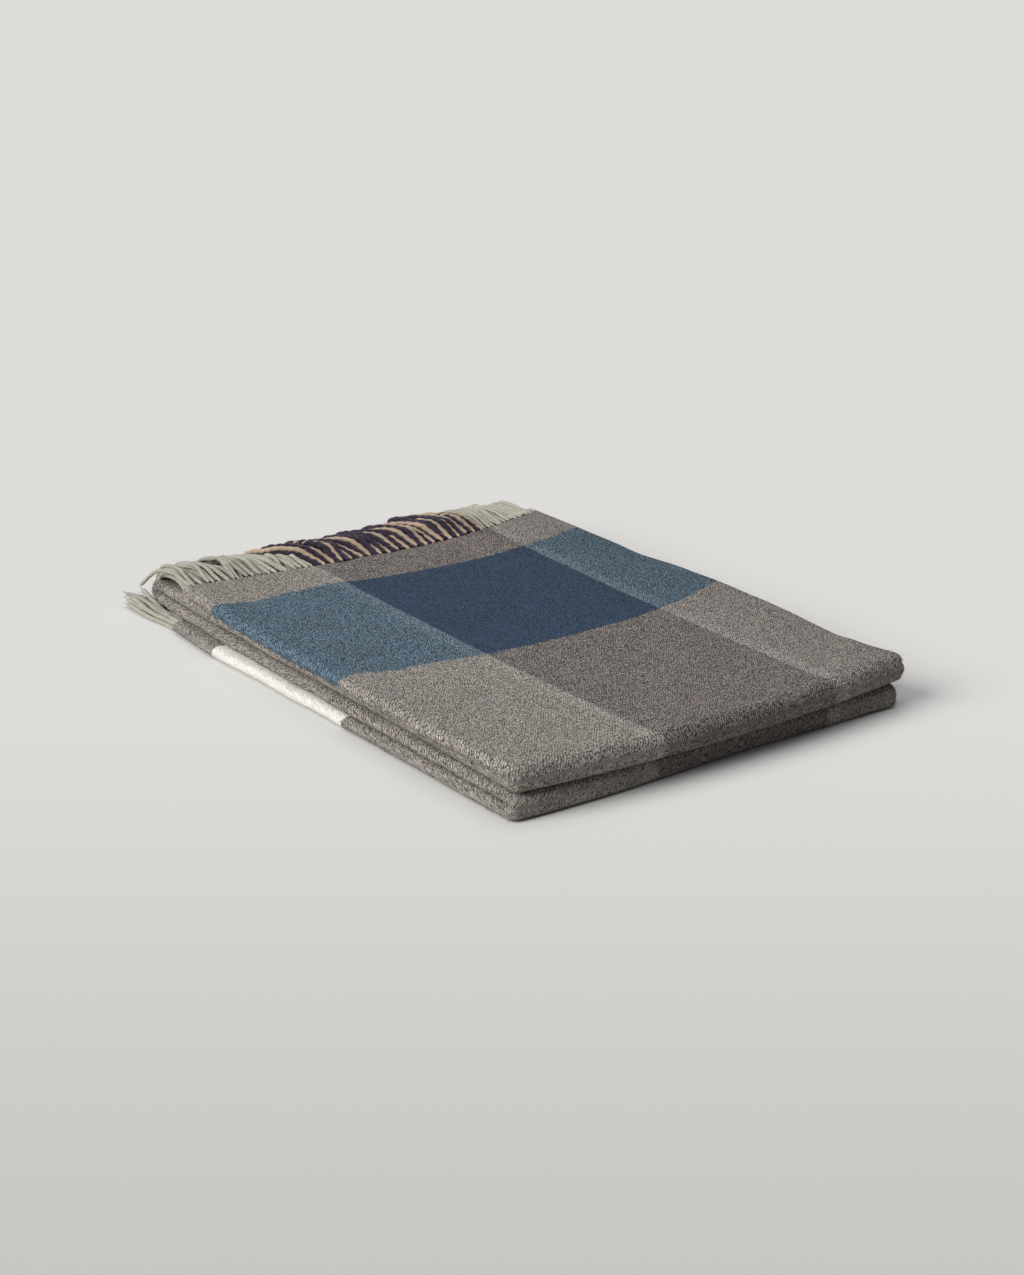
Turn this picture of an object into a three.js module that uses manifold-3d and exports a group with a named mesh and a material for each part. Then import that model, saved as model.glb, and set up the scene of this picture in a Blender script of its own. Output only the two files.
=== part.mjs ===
// Folded throw blanket: one woven, brushed wool throw with twisted fringes at
// both ends, folded into quarters across its width and then concertina-folded
// into four leaves along its length.
//
// Units: millimetres. +Z is up, +Y runs from the two rolled front folds to the
// fringed back end, +X runs from the nested folds on the left to the open side
// on the right. The origin is on the floor under the middle of the bounding box.

import * as THREE from 'three';
import { mergeVertices } from 'three/addons/utils/BufferGeometryUtils.js';
import Module from 'manifold-3d';

// ---------------------------------------------------------------- dimensions
const PITCH = 9.0;            // height taken by one leaf of the stack
const GAP = 0.3;              // clearance between neighbouring cloth surfaces
const LEAF_T = PITCH - GAP;   // height of one leaf: four plies and three gaps
const PLY_T = (LEAF_T - 3 * GAP) / 4;   // one ply of brushed cloth, 1.95
const STACK_W = 334;          // greatest width of the folded stack, X
const STACK_L = 508;          // greatest length with the fringes, Y
const FOLD_L = 480;           // front roll to back fold (leaves 2 and 3)
const TOP_HEM = 428;          // front roll to the hem of leaf 1
const BOTTOM_HEM = 438;       // front roll to the hem of leaf 4
const ROLL_R = 8.85;          // radius of a rolled front or back fold
const FRINGE_L = 70;          // twisted fringe beyond each hem
const LIP = 8;                // turned-in lip of cloth at the inner fold
const COLUMN_A = 104;         // light to dark warp column
const COLUMN_B = 261;         // dark to light warp column
const ARC_STEPS = 8;

// Each leaf: lower face, left side, right side, back end, how its front and back
// ends are rolled ('up' meets the leaf below, 'down' meets the leaf above), and
// whether the outermost ply, which closes at the right, is on top. The cloth is
// turned over at every fold of the concertina, so that ply changes sides.
const LEAVES = {
  leaf4: { z: 0 * PITCH, x0: 1, x1: 326, y1: BOTTOM_HEM, front: 'down', back: null, closedTop: false },
  leaf3: { z: 1 * PITCH, x0: 3, x1: 328, y1: FOLD_L, front: 'up', back: 'up3', closedTop: true },
  leaf2: { z: 2 * PITCH, x0: 2, x1: 333, y1: FOLD_L, front: 'down', back: 'down2', closedTop: false },
  leaf1: { z: 3 * PITCH, x0: 0, x1: 334, y1: TOP_HEM, front: 'up', back: null, closedTop: true },
};

// ---------------------------------------------------------------- materials
function wool(name, color) {
  const m = new THREE.MeshStandardMaterial({ color, roughness: 0.95, metalness: 0.0 });
  m.name = name;
  return m;
}
const GREY = 0x7e7975;
const BLUE = 0x4c6172;
const GREY_DARK = 0x6b6666;
const CREAM = 0xdcd8cb;
const PALE = 0xa9a79b;
const AUBERGINE = 0x4a3c46;

// ---------------------------------------------------------------- manifold
const wasm = await Module();
wasm.setup();

function toManifold(geometry) {
  const g = geometry.clone();
  g.deleteAttribute('normal');
  g.deleteAttribute('uv');
  const m = mergeVertices(g, 1e-4);
  return new wasm.Manifold(new wasm.Mesh({
    numProp: 3,
    vertProperties: new Float32Array(m.attributes.position.array),
    triVerts: new Uint32Array(m.index.array),
  }));
}

function fromManifold(solid) {
  const mesh = solid.getMesh();
  const g = new THREE.BufferGeometry();
  g.setAttribute('position', new THREE.BufferAttribute(new Float32Array(mesh.vertProperties), 3));
  g.setIndex(new THREE.BufferAttribute(new Uint32Array(mesh.triVerts), 1));
  g.computeVertexNormals();
  return g;
}

// ---------------------------------------------------------------- helpers
function arcPoints(cx, cy, r, a0, a1, n = ARC_STEPS) {
  const out = [];
  for (let i = 0; i <= n; i++) {
    const a = a0 + ((a1 - a0) * i) / n;
    out.push(new THREE.Vector2(cx + r * Math.cos(a), cy + r * Math.sin(a)));
  }
  return out;
}

// A section drawn in X and Z, swept from y0 to y1.
function alongY(points, y0, y1) {
  const g = new THREE.ExtrudeGeometry(new THREE.Shape(points), { depth: y1 - y0, bevelEnabled: false, steps: 1 });
  g.rotateX(Math.PI / 2);          // shape Y becomes Z, depth runs to -Y
  g.translate(0, y1, 0);
  return g;
}

// A profile drawn in Y and Z, swept from x0 to x1.
function alongX(points, x0, x1) {
  const g = new THREE.ExtrudeGeometry(new THREE.Shape(points), { depth: x1 - x0, bevelEnabled: false, steps: 1 });
  const m = new THREE.Matrix4().makeBasis(
    new THREE.Vector3(0, 1, 0), new THREE.Vector3(0, 0, 1), new THREE.Vector3(1, 0, 0));
  g.applyMatrix4(m);
  g.translate(x0, 0, 0);
  return g;
}

const PI = Math.PI;

// Turns a section over about the middle of its leaf, keeping its winding.
function turned(points, leaf) {
  if (!leaf.closedTop) return points;
  const middle = 2 * leaf.z + LEAF_T;
  return points.map((p) => new THREE.Vector2(p.x, middle - p.y)).reverse();
}

// The outer layer of one leaf: the open ply, the left fold, the closed ply, and
// the fold at the right where the cloth turns back in towards the next ply.
function outerWrapSection(leaf) {
  const { z, x0, x1 } = leaf;
  const R = LEAF_T / 2, r = R - PLY_T, cx = x0 + R, cz = z + R;
  const top = z + LEAF_T;
  const hookR = PLY_T + GAP / 2, hookX = x1 - hookR, hookZ = z + hookR;
  return turned([
    new THREE.Vector2(x1 - 1.5, top),
    ...arcPoints(cx, cz, R, PI / 2, 1.5 * PI),
    ...arcPoints(hookX, hookZ, hookR, -PI / 2, PI / 2),
    new THREE.Vector2(x1 - LIP, hookZ + hookR),
    new THREE.Vector2(x1 - LIP, hookZ + GAP / 2),
    ...arcPoints(hookX, hookZ, GAP / 2, PI / 2, -PI / 2, 4),
    ...arcPoints(cx, cz, r, 1.5 * PI, PI / 2),
    new THREE.Vector2(x1 - 1.5, top - PLY_T),
  ], leaf);
}

// The inner layer of one leaf: its two middle plies and their left fold.
function innerWrapSection(leaf) {
  const { z, x0, x1 } = leaf;
  const R = PLY_T + GAP / 2, r = GAP / 2, cx = x0 + LEAF_T / 2, cz = z + LEAF_T / 2;
  return turned([
    new THREE.Vector2(x1 - 3, cz + R),
    ...arcPoints(cx, cz, R, PI / 2, 1.5 * PI),
    new THREE.Vector2(x1 - LIP - GAP, cz - R),
    new THREE.Vector2(x1 - LIP - GAP, cz - r),
    ...arcPoints(cx, cz, r, 1.5 * PI, PI / 2, 4),
    new THREE.Vector2(x1 - 3, cz + r),
  ], leaf);
}

// The side outline of one leaf in Y and Z, with its rolled ends.
function leafOutline(leaf) {
  const { z, y1, front, back } = leaf;
  const lo = z - 0.5, hi = z + LEAF_T + 0.5;
  const pts = [];
  const up = z - GAP / 2, down = z + LEAF_T + GAP / 2;    // fold line heights
  if (front === 'up') pts.push(new THREE.Vector2(0, lo), ...arcPoints(ROLL_R, up, ROLL_R, PI, PI / 2).filter((p) => p.y > lo));
  else pts.push(...arcPoints(ROLL_R, down, ROLL_R, 1.5 * PI, PI).filter((p) => p.y < hi), new THREE.Vector2(0, hi));
  const right = [];
  if (back === null) right.push(new THREE.Vector2(y1, hi), new THREE.Vector2(y1, lo));
  else if (back === 'down2') right.push(...arcPoints(y1 - ROLL_R, up, ROLL_R, PI / 2, 0).filter((p) => p.y > lo), new THREE.Vector2(y1, lo));
  else right.push(new THREE.Vector2(y1, hi), ...arcPoints(y1 - ROLL_R, down, ROLL_R, 0, -PI / 2).filter((p) => p.y < hi));
  return pts.concat(right);
}

const group = new THREE.Group();
group.name = 'folded_throw';

function add(name, geometry, color) {
  geometry.translate(-STACK_W / 2, -STACK_L / 2, 0);
  const mesh = new THREE.Mesh(geometry, wool(name, color));
  mesh.name = name;
  group.add(mesh);
}

// ---------------------------------------------------------------- the leaves
const COLORS = {
  leaf1: [BLUE, GREY], leaf2: [GREY, GREY_DARK], leaf3: [GREY_DARK, GREY], leaf4: [CREAM, GREY],
};
for (const [name, leaf] of Object.entries(LEAVES)) {
  const outline = toManifold(alongX(leafOutline(leaf), leaf.x0 - 5, leaf.x1 + 5));
  const outer = toManifold(alongY(outerWrapSection(leaf), -5, leaf.y1 + 5)).intersect(outline);
  const inner = toManifold(alongY(innerWrapSection(leaf), -5, leaf.y1 + 5)).intersect(outline);
  add(`${name}_outer_wrap`, fromManifold(outer), COLORS[name][0]);
  add(`${name}_inner_wrap`, fromManifold(inner), COLORS[name][1]);
}

// ---------------------------------------------------------------- the fringes
// The twisted fringe of the top hem lies back over leaf 2 and droops behind the
// back fold. It is held as three soft bands, one for each warp column.
const zTop = LEAVES.leaf1.z;
const topFringe = [
  [TOP_HEM + GAP, zTop + 0.6], [TOP_HEM + 24, zTop + 0.5], [FOLD_L - 9, zTop + 0.6], [FOLD_L - 2.5, zTop - 1.2],
  [FOLD_L + 1.6, zTop - 4.6], [FOLD_L + 3.6, zTop - 8.4], [FOLD_L + 5, zTop - 11],
  [FOLD_L + 14, zTop - 8.5], [FOLD_L + 9.5, zTop - 1], [FOLD_L, zTop + 5], [FOLD_L - 14, zTop + 9],
  [TOP_HEM + 20, zTop + 10], [TOP_HEM + GAP, zTop + LEAF_T],
].map(([y, z]) => new THREE.Vector2(y, z));
// The fringe of the bottom hem lies flat on the floor behind leaf 4.
const bottomFringe = [
  [BOTTOM_HEM + GAP, GAP], [BOTTOM_HEM + FRINGE_L, GAP], [BOTTOM_HEM + FRINGE_L, 3.6],
  [BOTTOM_HEM + 48, 5.2], [BOTTOM_HEM + 28, 7.2], [BOTTOM_HEM + GAP, LEAF_T - 0.4],
].map(([y, z]) => new THREE.Vector2(y, z));

const BANDS = [
  ['pale_left', 2, COLUMN_A - GAP / 2, PALE],
  ['dark_middle', COLUMN_A + GAP / 2, COLUMN_B - GAP / 2, AUBERGINE],
  ['pale_right', COLUMN_B + GAP / 2, 326, PALE],
];
for (const [band, x0, x1, color] of BANDS) {
  add(`top_fringe_${band}`, alongX(topFringe, x0, x1), color);
  add(`bottom_fringe_${band}`, alongX(bottomFringe, x0, band === 'pale_right' ? 322 : x1), color);
}

export default group;
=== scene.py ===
import math

import bpy
import numpy as np
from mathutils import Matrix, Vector


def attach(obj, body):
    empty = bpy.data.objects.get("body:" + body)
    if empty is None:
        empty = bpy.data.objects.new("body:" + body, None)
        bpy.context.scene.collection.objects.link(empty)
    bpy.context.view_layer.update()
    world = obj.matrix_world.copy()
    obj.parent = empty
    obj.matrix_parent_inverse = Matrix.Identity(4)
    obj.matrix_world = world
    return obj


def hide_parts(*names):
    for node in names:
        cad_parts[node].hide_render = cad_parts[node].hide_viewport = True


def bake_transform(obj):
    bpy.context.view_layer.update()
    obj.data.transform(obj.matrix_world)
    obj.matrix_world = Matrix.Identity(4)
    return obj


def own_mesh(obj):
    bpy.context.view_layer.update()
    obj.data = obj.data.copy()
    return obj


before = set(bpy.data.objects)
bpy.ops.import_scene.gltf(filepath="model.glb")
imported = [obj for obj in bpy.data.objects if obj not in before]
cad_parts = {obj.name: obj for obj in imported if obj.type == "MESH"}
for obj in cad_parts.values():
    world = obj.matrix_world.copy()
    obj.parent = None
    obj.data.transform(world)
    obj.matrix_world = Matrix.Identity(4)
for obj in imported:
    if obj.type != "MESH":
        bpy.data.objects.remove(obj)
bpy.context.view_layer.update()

# ---------------------------------------------------------------- dimensions (mm)
X0, Y0 = 167.0, 246.0  # from the blanket's own left / front edges to the row frame
PLY, HALF = 2.25, 0.98  # pitch of the four plies in a leaf, half a ply's thickness
ZC = (31.35, 22.35, 13.35, 4.35)  # mid heights of the four leaves, top to bottom
HINGE_TOP, HINGE_BACK, HINGE_LOW = 26.85, 17.85, 8.85
R_FRONT = 8.85  # centre of the front folds, behind the nominal front line
R_BACK = 467.5  # centre of the back fold
R_MID = 236.0  # where one cloth piece hands over to the next, half way along a leaf
TOP_HEM, BOTTOM_HEM = 419.0, 421.0
W = 1300.0  # cloth width
FOLD_ARC = math.pi * 4.5
COL_A, COL_B = 108.0, 262.0  # edges of the dark middle column on the top ply


def smooth(a, b, x):
    t = np.clip((np.asarray(x, float) - a) / (b - a), 0, 1)
    return t * t * (3 - 2 * t)


def hump(x, c, w):
    return np.exp(-(((np.asarray(x, float) - c) / w) ** 2))


class Waves:
    """A smooth repeatable wander in one or two directions, about -1 to 1."""

    def __init__(self, seed, lengths, n=9):
        g = np.random.default_rng(seed)
        ang = g.uniform(0, 2 * math.pi, n)
        wl = g.uniform(lengths[0], lengths[1], n)
        self.kx, self.ky = 2 * math.pi * np.cos(ang) / wl, 2 * math.pi * np.sin(ang) / wl
        self.ph = g.uniform(0, 2 * math.pi, n)
        self.n = n

    def __call__(self, x, y=0.0):
        x, y = np.broadcast_arrays(np.asarray(x, float), np.asarray(y, float))
        out = np.zeros(x.shape)
        for a, b, p in zip(self.kx, self.ky, self.ph):
            out += np.sin(a * x + b * y + p)
        return out / math.sqrt(self.n / 2) / 1.6


def table(points):
    p = np.array(points, float)

    def f(y):
        i = np.interp(y, p[:, 0], p[:, 1])
        for s in (-6, -3, 3, 6):
            i = i + np.interp(np.asarray(y) + s, p[:, 0], p[:, 1])
        return i / 5

    return f


# ---------------------------------------------------------------- how the stack lies
def bow_rows(t):
    return 5.16 * (t - 0.5) + 21.0 * ((2 * t - 1) ** 2 - 1) + 8.5 * ((2 * t - 1) ** 3 - (2 * t - 1))


def bow_front(t):
    return 5.5 * (t - 0.5) + 10.9 * ((2 * t - 1) ** 2 - 1)


def bow_low(t):
    return np.interp(t, [0, 0.1, 0.25, 0.4, 0.5, 0.6, 0.7, 0.8, 0.9, 1.0], [-3.2, -4.6, -4.2, -1.2, 0.9, 2.9, 3.6, 3.8, 4.6, 5.0])


def bowed(x, r, low=False):
    t = np.clip(np.asarray(x, float) / 325.0, -0.02, 1.04)
    k = np.clip(np.asarray(r, float) / 150.0, 0, 1)
    return r + bow_rows(t) * k + (bow_low(t) if low else bow_front(t)) * (1 - k)


LEFT = (
    table([(-12, 5.5), (0, 4.5), (40, 2.5), (100, -0.5), (200, -1), (280, -3), (360, -1.5), (420, 3.0), (470, 6)]),
    table([(-12, 9.2), (0, 9), (40, 8.5), (100, 8), (200, 6), (280, 3.5), (360, 3), (440, 2.5), (470, 4.0)]),
    table([(-12, 7.5), (0, 7), (40, 6), (100, 4.5), (200, 2), (280, 1), (360, 0), (440, 1), (470, 3.5)]),
    table([(-12, 6), (0, 5.5), (20, 3.5), (40, 3), (100, 1.5), (200, -1.5), (280, -4.5), (360, -7.5), (410, -7), (440, -3)]),
)
RIGHT = (
    table([(-12, 339), (4, 338), (14, 335), (26, 332), (40, 330.5), (58, 330), (80, 330.5), (106, 332.5), (150, 333.5), (200, 333.5), (240, 330.5), (283, 325), (336, 326), (360, 325), (416, 323), (470, 324)]),
    table([(-12, 339), (6, 337.5), (30, 333), (70, 331), (150, 332.5), (240, 330), (330, 326), (416, 325), (470, 323)]),
    table([(-12, 332), (6, 331.8), (40, 331.5), (120, 330), (240, 331.5), (330, 329), (416, 327), (470, 323)]),
    table([(-12, 331.5), (6, 331.3), (40, 330.6), (120, 331.5), (240, 330), (330, 327), (430, 325)]),
)
COLUMN_A = table([(-14, 121), (0, 117), (10, 114), (25, 113), (60, 111), (110, 109), (170, 107), (250, 106), (340, 105.5), (410, 107.5), (440, 108)])
COLUMN_B = table([(-14, 269), (0, 265.5), (15, 263.5), (60, 262), (140, 261), (250, 260), (380, 261.5), (410, 265), (440, 266)])
ripple_l = [Waves(11 + i, (34, 90), 7) for i in range(4)]
ripple_r = [Waves(31 + i, (40, 110), 7) for i in range(12)]
swell = Waves(5, (70, 170), 9)
swell2 = Waves(6, (26, 60), 9)
lift_l = [Waves(61 + i, (45, 120), 7) for i in range(4)]


def settle(x, r, z, leafpos):
    """The slack of the stack: heights keep the three fold planes where the hinges are."""
    front = 1 - smooth(25, 120, r)
    b = np.where(np.abs(z - HINGE_BACK) < 9, np.cos(np.pi * (z - HINGE_BACK) / 18) ** 2, 0)
    z = z - 1.15 * front * b
    up = np.clip(z - HINGE_TOP, 0, None)
    xr = smooth(150, 330, x)
    s = (
        0.035
        + (0.05 - 0.06 * smooth(240, 335, x)) * hump(r, 14, 16)
        - (0.03 + 0.03 * xr) * hump(r, 50, 16)
        + 0.20 * smooth(262, 330, x) * (1 - smooth(-11, 11, r - 22 - 0.5 * np.clip(x - 262, 0, 80)))
        - 0.025 * smooth(60, 150, r) * smooth(20, 120, x) * (1 - smooth(230, 310, x))
        + 0.030 * swell(x, r)
        + 0.012 * swell2(x, r)
    )
    return z + np.where(z > HINGE_TOP, up * s, 0)


# ---------------------------------------------------------------- the cloth's section
def section(fine):
    """Samples across the cloth, selvedge to selvedge, through four plies:
    columns are u, cL, cR12, cR3, cR4, cA, cB, ox, d, nx, nd."""
    rows = []
    xl_flat = 5.44

    def hats(u):
        nodes = (330.3, 431.0, 585.0, 648.2)
        h = [float(np.interp(u, nodes, np.eye(4)[k])) for k in range(4)]
        return h

    # ply 4, right selvedge to the left fold
    for u in np.linspace(0.98, 319.7, fine["ply4"]):
        f = u / 319.7
        rows.append((u, f, 0, 0, 1 - f, 0, 0, f * xl_flat - (1 - f) * 0.98, -3.375, 0, -1))
    n = fine["fold"]
    for k in range(1, n):
        th = -math.pi / 2 + math.pi * k / n
        rows.append((319.7 + 10.6 * k / n, 1, 0, 0, 0, 0, 0, xl_flat - 1.25 * 3.375 * math.cos(th), 3.375 * math.sin(th), -math.cos(th) * 1.25, math.sin(th)))
    for u in np.concatenate([np.linspace(330.3, 648.2, fine["ply1"])]):
        h = hats(u)
        rows.append((u, h[0], h[3], 0, 0, h[1], h[2], h[0] * xl_flat - h[3] * 2.11, 3.375, 0, 1))
    n = fine["small"]
    for k in range(1, n):
        th = math.pi / 2 - math.pi * k / n
        rows.append((648.2 + 3.6 * k / n, 0, 1, 0, 0, 0, 0, -2.11 + 1.125 * math.cos(th), 2.25 + 1.125 * math.sin(th), math.cos(th), math.sin(th)))
    for u in np.linspace(651.8, 973.2, fine["ply2"]):
        f = (u - 651.8) / 321.4
        rows.append((u, f, 1 - f, 0, 0, 0, 0, f * (xl_flat + 0.8) - (1 - f) * 2.11, 1.125, 0, -1))
    for k in range(1, n):
        th = math.pi / 2 - math.pi * k / n
        rows.append((973.2 + 3.6 * k / n, 1, 0, 0, 0, 0, 0, xl_flat + 0.8 - 1.125 * math.cos(th), 1.125 * math.sin(th), math.cos(th), -math.sin(th)))
    for u in np.linspace(976.8, 1299.02, fine["ply3"]):
        f = (u - 976.8) / 322.22
        rows.append((u, 1 - f, 0, f, 0, 0, 0, (1 - f) * (xl_flat + 0.8) - f * 0.98, -1.125, 0, 1))
    return np.array(rows, float)


def loop_of(sec):
    """The closed outline of the cloth's section: out along one face, round a selvedge, back along the other."""
    u, c = sec[:, 0], sec[:, 1:7]
    ox, d, nx, nd = sec[:, 7], sec[:, 8], sec[:, 9], sec[:, 10]
    plus = np.column_stack([u, c, ox + HALF * nx, d + HALF * nd, np.ones(len(u))])
    minus = np.column_stack([u, c, ox - HALF * nx, d - HALF * nd, -np.ones(len(u))])
    caps = []
    for idx, sgn in ((-1, 1), (0, -1)):
        cap = []
        for a in (45, 90, 135):
            s, o = math.cos(math.radians(a)), math.sin(math.radians(a))
            # outward is +x at both selvedges, as both lie at the right edge
            cap.append([u[idx], *c[idx], ox[idx] + HALF * o, d[idx] + HALF * s * nd[idx] * sgn, s * sgn])
        caps.append(np.array(cap))
    return np.vstack([plus, caps[0], minus[::-1], caps[1]]), len(u)


def rows_of(spec):
    """Rows along the cloth: cy, hinge z, q, g, phi (deg), v, leaf position (0 top .. 3 bottom)."""
    out = []
    v1 = TOP_HEM - R_FRONT
    v2 = v1 + FOLD_ARC
    v3 = v2 + (R_BACK - R_FRONT)
    v4 = v3 + FOLD_ARC
    v5 = v4 + (R_BACK - R_FRONT)
    v6 = v5 + FOLD_ARC
    vend = v6 + BOTTOM_HEM - R_FRONT
    for kind, a, b, n in spec:
        for f in np.linspace(0, 1, n):
            r = a + (b - a) * f
            if kind == "leaf1":
                out.append((r, HINGE_TOP, -1, 1, 90, TOP_HEM - r, 0))
            elif kind == "roll1":
                out.append((R_FRONT, HINGE_TOP, -1, 1, 90 - 180 * r, v1 + FOLD_ARC * r, r))
            elif kind == "leaf2a":
                out.append((r, HINGE_TOP, -1, 1, -90, v2 + r - R_FRONT, 1))
            elif kind == "leaf2b":
                out.append((r, HINGE_BACK, 1, -1, 90, v2 + r - R_FRONT, 1))
            elif kind == "rollb":
                out.append((R_BACK, HINGE_BACK, 1, -1, 90 - 180 * r, v3 + FOLD_ARC * r, 1 + r))
            elif kind == "leaf3b":
                out.append((r, HINGE_BACK, 1, -1, -90, v4 + R_BACK - r, 2))
            elif kind == "leaf3a":
                out.append((r, HINGE_LOW, -1, 1, 90, v4 + R_BACK - r, 2))
            elif kind == "roll2":
                out.append((R_FRONT, HINGE_LOW, -1, 1, 90 - 180 * r, v5 + FOLD_ARC * r, 2 + r))
            elif kind == "leaf4":
                out.append((r, HINGE_LOW, -1, 1, -90, v6 + r - R_FRONT, 3))
    return np.array(out, float), vend


def edge_at(tabs, leafpos, y):
    """The edge table of each row's leaf, eased from one leaf to the next round a fold."""
    lo = np.clip(np.floor(leafpos).astype(int), 0, 3)
    hi = np.clip(lo + 1, 0, 3)
    f = leafpos - np.floor(leafpos)
    f = f * f * (3 - 2 * f)
    vals = np.array([t(y) for t in tabs])
    k = np.arange(len(y))
    return vals[lo, k] * (1 - f) + vals[hi, k] * f


def fibre(p0, direction, length, bend, r=0.11):
    """A loose wool fibre: a fine closed three-sided whisker."""
    d = direction / np.linalg.norm(direction)
    o = np.cross(d, bend)
    o /= np.linalg.norm(o) + 1e-9
    q = np.cross(d, o)
    rings = []
    for k, f in enumerate((0, 0.5, 1.0)):
        c = p0 + d * length * f + bend * length * f * f
        w = r * (1 - 0.6 * f)
        for a in (0, 2.1, 4.2):
            rings.append(c + w * (math.cos(a) * o + math.sin(a) * q))
    faces = [[2, 1, 0], [6, 7, 8]]
    for k in range(2):
        for a in range(3):
            b = (a + 1) % 3
            faces.append([k * 3 + a, k * 3 + b, k * 3 + 3 + b, k * 3 + 3 + a])
    return np.array(rings), faces


def cloth_piece(name, spec, fine, plane, seed, n_fuzz):
    loop, m = loop_of(section(fine))
    rows, vend = rows_of(spec)
    R, S = len(rows), len(loop)
    cy, hz, q, g, phi, v, lp = rows.T
    ph = np.radians(phi)
    # a row's own place along the stack, for the edge tables
    r_mid = cy + q * 4.5 * np.cos(ph)
    xl = edge_at(LEFT, lp, r_mid - 2.6) + edge_at([lambda y, w=w: 0.55 * w(y) for w in ripple_l], lp, r_mid)
    back = smooth(428, 466, r_mid)
    xl = xl + back * (1.3 * np.sin(r_mid / 2.6 + 2.4 * lp) + 0.8)
    xr = edge_at(RIGHT, lp, r_mid + 2.6)
    xr12 = xr + edge_at([lambda y, w=w: 0.5 * w(y) for w in ripple_r[0:4]], lp, r_mid)
    xr3 = xr - 2.4 + edge_at([lambda y, w=w: 1.1 * w(y) for w in ripple_r[4:8]], lp, r_mid)
    xr4 = xr - 1.2 + edge_at([lambda y, w=w: 1.1 * w(y) for w in ripple_r[8:12]], lp, r_mid)
    in_top_roll = ((lp > 0) & (lp < 1)).astype(float)
    in_low_roll = ((lp > 2) & (lp < 3)).astype(float)
    scallop = in_top_roll * 2.2 * (np.sqrt(np.abs(np.sin(3 * np.pi * lp))) - 0.75) + in_low_roll * 1.6 * (np.sqrt(np.abs(np.sin(np.pi * lp))) - 0.8)
    xr12 = xr12 + scallop
    xr3, xr4 = xr3 + scallop * 0.6, xr4 + scallop * 0.6
    u, cL, c12, c3, c4, cA, cB, ox, d, side = loop.T
    r_col = np.where((lp > 0) & (lp < 1), R_FRONT - 22 * np.sin(np.pi * lp), np.where((lp > 2) & (lp < 3), -11.0, r_mid))
    X = np.outer(xl, cL) + np.outer(xr12, c12) + np.outer(xr3, c3) + np.outer(xr4, c4) + np.outer(COLUMN_A(r_col), cA) + np.outer(COLUMN_B(r_col), cB) + ox
    rho = 4.5 + np.outer(g, d)
    Yn = cy[:, None] + q[:, None] * rho * np.cos(ph)[:, None]
    Z = hz[:, None] + rho * np.sin(ph)[:, None]
    # the left folds rise and sink a little, away from the hinge planes
    Rr = np.repeat(r_mid[:, None], S, 1)
    Z = settle(X, Yn, Z, lp)
    Y = bowed(X, Yn, low=spec[0][0] == "leaf3a")
    if spec[0][0] == "leaf3a":
        Y = Y - 3.4 * (1 - smooth(0.2, 8.0, Z)) * (1 - smooth(6, 30, Yn))
    # the hem's plies end raggedly
    if spec[0][0] == "leaf1":
        e = smooth(TOP_HEM - 14, TOP_HEM, Rr)
        Y = Y + e * (0.8 * swell2(X * 1.7, d[None, :] * 30) - 0.5 * np.abs(d[None, :] + 1))
    if spec[-1][0] == "leaf4":
        e = smooth(BOTTOM_HEM - 14, BOTTOM_HEM, Rr)
        Y = Y + e * (0.8 * swell2(X * 1.7, d[None, :] * 30) - 0.4 * np.abs(d[None, :]))
    V = np.repeat(v[:, None], S, 1)
    U = np.repeat(u[None, :], R, 0)
    # true run along each ply, for the weave: outer plies travel further round a fold
    turn_ = np.concatenate([[0.0], np.cumsum(np.where(np.diff(v) > 0, np.diff(np.radians(-phi)) * (np.diff(phi) < 0) * (np.diff(phi) > -90), 0))])
    G = V + g[0] * np.outer(turn_, d)
    if spec[0][0] == "leaf1":
        # the woven bands wander a little on the outermost ply
        top = np.interp(X, [0, 30, 60, 95, 120, 160, 200, 260, 320], [370, 363, 370, 375, 370, 367, 366, 364, 362])
        low = np.interp(X, [0, 15, 30, 50, 70, 100, 150, 200, 260, 330], [192, 197, 191, 190, 192, 189, 190, 191, 193, 195])
        r_here = TOP_HEM - V
        vv = np.where(
            r_here > top,
            52 * (TOP_HEM - r_here) / (TOP_HEM - top),
            np.where(r_here > low, 52 + 176 * (top - r_here) / (top - low), 228 + (low - r_here) * 1.0),
        )
        w_top = np.exp(-np.clip(np.abs(U - 490) - 165, 0, None) / 12.0)
        late = 1 - smooth(300, 380, V)
        V = V * (1 - w_top * late) + vv * w_top * late
    co = np.stack([(X - X0) / 1000, (Y - Y0) / 1000, Z / 1000], -1)
    verts = co.reshape(-1, 3)
    i, j = np.meshgrid(np.arange(R - 1), np.arange(S), indexing="ij")
    j2 = (j + 1) % S
    quads = np.stack([i * S + j, (i + 1) * S + j, (i + 1) * S + j2, i * S + j2], -1).reshape(-1, 4)
    # each end closes as a narrow strip between the two faces of the cloth
    minus_of = lambda k: m + 3 + (m - 1 - k)
    caps = []
    for row, flip in ((0, False), (R - 1, True)):
        base = row * S
        strip = []
        for k in range(m - 1):
            strip.append((k, minus_of(k), minus_of(k + 1), k + 1))
        a, b = m - 1, minus_of(m - 1)
        strip.append((a, b, m + 2, m + 1))
        strip.append((a, m + 1, m, a))
        a, b = minus_of(0), 0
        n0 = 2 * m + 3
        strip.append((a, b, n0 + 2, n0 + 1))
        strip.append((a, n0 + 1, n0, a))
        for s in strip:
            s = [base + t for t in s]
            if len(set(s)) < 4:
                s = s[:3]
            caps.append(s[::-1] if flip else s)
    faces = [tuple(qd) for qd in quads.tolist()] + [tuple(c) for c in caps]
    n_main, f_main = len(verts), len(faces)
    data = np.stack([U, V, np.repeat(side[None, :], R, 0)], -1).reshape(-1, 3)
    grain = np.stack([U, G, np.repeat(side[None, :], R, 0)], -1).reshape(-1, 3)
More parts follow.
